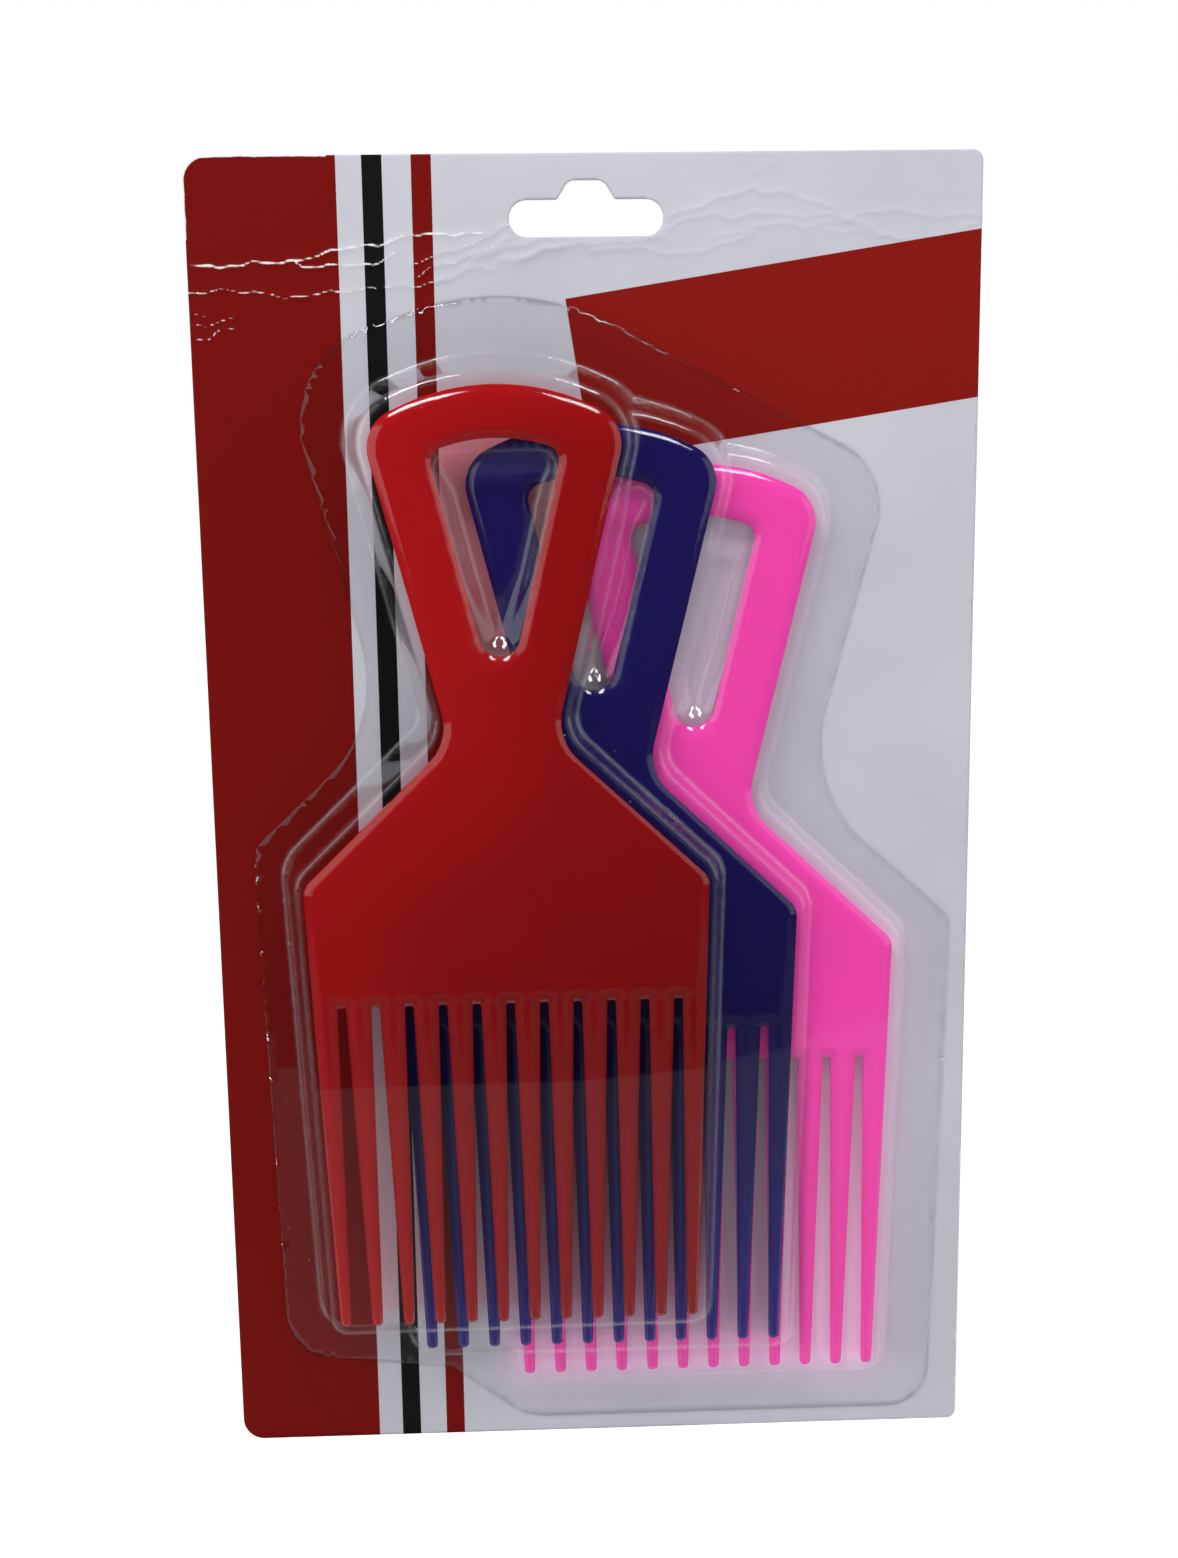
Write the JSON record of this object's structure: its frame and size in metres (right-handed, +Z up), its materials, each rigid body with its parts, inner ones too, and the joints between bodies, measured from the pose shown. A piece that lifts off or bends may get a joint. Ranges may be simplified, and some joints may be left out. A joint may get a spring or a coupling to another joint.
{
  "type": "carded afro pick set",
  "caption": "Moulded afro picks with wedge-holed handles, stepped over each other under a clear thermoformed blister on a printed hang card.",
  "frame": {"origin": "crown of the hang slot's notch, on the card's front face, where a peg carries the pack", "axes": "+X across the card to the viewer's right, +Z up the card, -Y out of the printed front towards the viewer"},
  "size_m": [0.155, 0.0128, 0.267],
  "materials": {
    "printed_board": "white coated board with printed bands",
    "clear_film": "clear thermoformed film",
    "red_plastic": "glossy moulded",
    "blue_plastic": "glossy moulded",
    "pink_plastic": "glossy moulded"
  },
  "bodies": {
    "carded_blister": {"backing_card": "printed_board", "blister": "clear_film"},
    "red_pick": {"red_pick": "red_plastic"},
    "blue_pick": {"blue_pick": "blue_plastic"},
    "pink_pick": {"pink_pick": "pink_plastic"}
  },
  "joints": [
    {"name": "red_pick_lift", "type": "slide", "parent": "carded_blister", "child": "red_pick", "axis": [0, 0, 1], "range_m": [0, 0.0012]},
    {"name": "blue_pick_lift", "type": "slide", "parent": "carded_blister", "child": "blue_pick", "axis": [0, 0, 1], "range_m": [0, 0.0012]},
    {"name": "pink_pick_lift", "type": "slide", "parent": "carded_blister", "child": "pink_pick", "axis": [0, 0, 1], "range_m": [0, 0.0012]}
  ]
}
